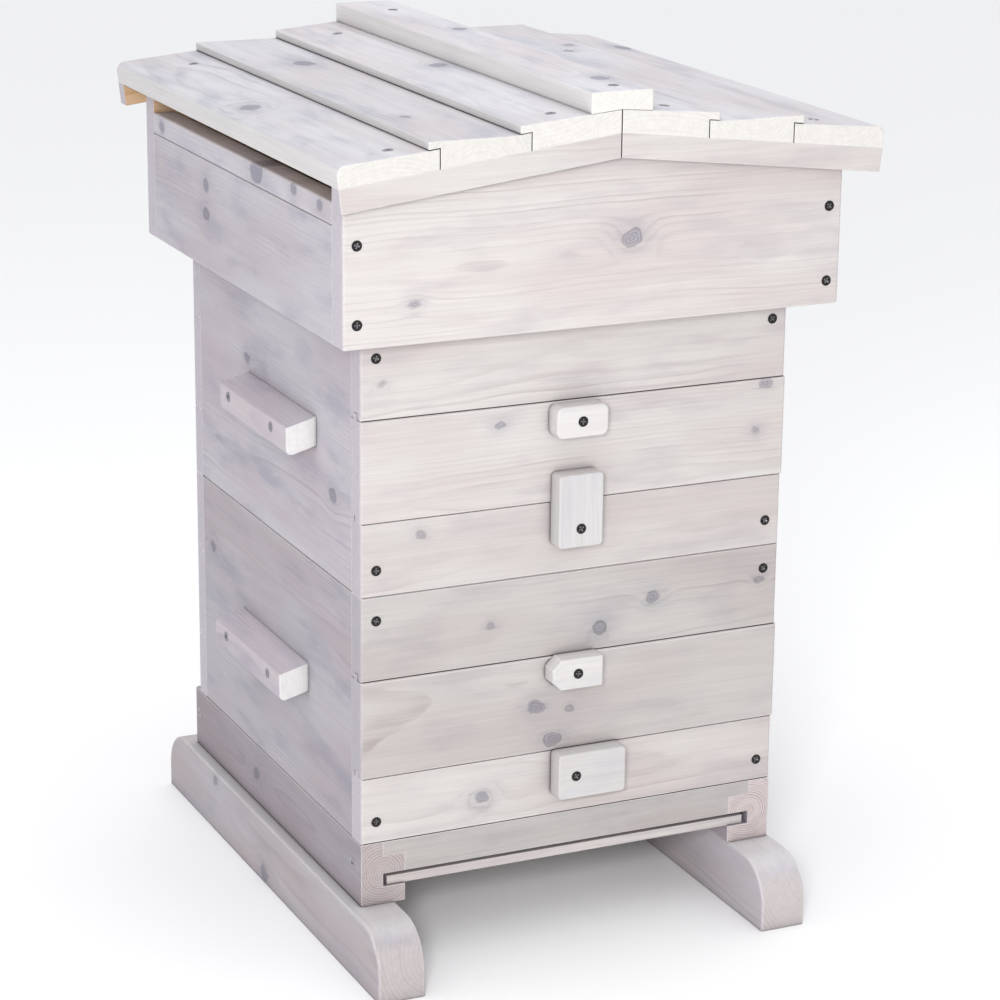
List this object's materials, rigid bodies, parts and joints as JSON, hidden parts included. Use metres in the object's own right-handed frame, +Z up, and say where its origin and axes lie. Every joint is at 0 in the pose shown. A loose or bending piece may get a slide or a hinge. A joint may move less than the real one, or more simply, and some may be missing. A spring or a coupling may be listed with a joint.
{
  "type": "beehive",
  "caption": "Wooden beehive: stacked boxes with handles and turning closers on a floor with runners, under a vented rim and low-pitched board roof.",
  "frame": {"origin": "middle of the footprint's bounding box at ground level", "axes": "+Z up; the front with its closers faces -Y; +X is to the right seen from the front"},
  "size_m": [0.5368, 0.616, 0.8229],
  "materials": {
    "limed_front": "matte limewash",
    "limed_side": "matte limewash",
    "limed_base": "matte limewash",
    "roof_boards": "matte limewash",
    "closers": "matte limewash",
    "bare_wood": "bare softwood",
    "frame_wood": "bare softwood",
    "wax": "satin wax",
    "slide_sheet": "painted board",
    "mesh": "galvanised wire",
    "dark_screws": "blackened",
    "steel_screws": "satin zinc"
  },
  "bodies": {
    "base": {"runner_left": "limed_base", "runner_right": "limed_base", "floor_rail_left": "limed_base", "floor_rail_right": "limed_base", "floor_front_board": "limed_front", "floor_back_board": "limed_front", "mesh_floor": "mesh", "floor_screws": "steel_screws"},
    "slide_board": {"slide_board": "slide_sheet"},
    "lower_box": {"lower_back_bottom_board": "limed_front", "lower_back_middle_board": "limed_front", "lower_back_top_board": "limed_front", "lower_front_bottom_board": "limed_front", "lower_front_middle_board": "limed_front", "lower_front_top_board": "limed_front", "lower_handle_left": "limed_side", "lower_handle_right": "limed_side", "lower_screws": "dark_screws", "lower_side_left": "limed_side", "lower_side_right": "limed_side"},
    "upper_box": {"upper_back_bottom_board": "limed_front", "upper_back_middle_board": "limed_front", "upper_back_top_board": "limed_front", "upper_front_bottom_board": "limed_front", "upper_front_middle_board": "limed_front", "upper_front_top_board": "limed_front", "upper_handle_left": "limed_side", "upper_handle_right": "limed_side", "upper_screws": "dark_screws", "upper_side_left": "limed_side", "upper_side_right": "limed_side"},
    "lower_frames": {"lower_frames": "frame_wood", "lower_foundations": "wax"},
    "upper_frames": {"upper_frames": "frame_wood", "upper_foundations": "wax"},
    "crown_board": {"crown_board": "bare_wood"},
    "roof": {"deck_screws": "steel_screws", "gable_back": "limed_front", "gable_front": "limed_front", "rake_back_left": "limed_front", "rake_back_right": "limed_front", "rake_front_left": "limed_front", "rake_front_right": "limed_front", "rest_battens": "bare_wood", "ridge_cap": "roof_boards", "rim_screws": "dark_screws", "roof_left_eave_board": "roof_boards", "roof_left_middle_board": "roof_boards", "roof_left_ridge_board": "roof_boards", "roof_right_eave_board": "roof_boards", "roof_right_middle_board": "roof_boards", "roof_right_ridge_board": "roof_boards", "side_board_left": "limed_side", "side_board_right": "limed_side", "side_strip_left": "limed_side", "side_strip_right": "limed_side"},
    "lower_small_closer": {"lower_small_closer": "closers"},
    "lower_large_closer": {"lower_large_closer": "closers"},
    "upper_small_closer": {"upper_small_closer": "closers"},
    "upper_large_closer": {"upper_large_closer": "closers"}
  },
  "joints": [
    {"name": "slide_board_pull", "type": "slide", "parent": "base", "child": "slide_board", "axis": [0, -1, 0], "range_m": [0, 0.4]},
    {"name": "lower_box_lift", "type": "slide", "parent": "base", "child": "lower_box", "axis": [0, 0, 1], "range_m": [0, 0.3]},
    {"name": "upper_box_lift", "type": "slide", "parent": "lower_box", "child": "upper_box", "axis": [0, 0, 1], "range_m": [0, 0.3]},
    {"name": "crown_board_lift", "type": "slide", "parent": "upper_box", "child": "crown_board", "axis": [0, 0, 1], "range_m": [0, 0.3]},
    {"name": "roof_lift", "type": "slide", "parent": "crown_board", "child": "roof", "axis": [0, 0, 1], "range_m": [0, 0.35]},
    {"name": "lower_frames_lift", "type": "slide", "parent": "lower_box", "child": "lower_frames", "axis": [0, 0, 1], "range_m": [0, 0.004]},
    {"name": "upper_frames_lift", "type": "slide", "parent": "upper_box", "child": "upper_frames", "axis": [0, 0, 1], "range_m": [0, 0.004]},
    {"name": "lower_small_closer_turn", "type": "hinge", "parent": "lower_box", "child": "lower_small_closer", "pos_m": [-0.0152, -0.247, 0.2725], "axis": [0, -1, 0], "continuous": true},
    {"name": "lower_large_closer_turn", "type": "hinge", "parent": "lower_box", "child": "lower_large_closer", "pos_m": [-0.0152, -0.247, 0.17], "axis": [0, -1, 0], "continuous": true},
    {"name": "upper_small_closer_turn", "type": "hinge", "parent": "upper_box", "child": "upper_small_closer", "pos_m": [-0.0152, -0.247, 0.516], "axis": [0, -1, 0], "continuous": true},
    {"name": "upper_large_closer_turn", "type": "hinge", "parent": "upper_box", "child": "upper_large_closer", "pos_m": [-0.0152, -0.247, 0.414], "axis": [0, -1, 0], "continuous": true}
  ]
}
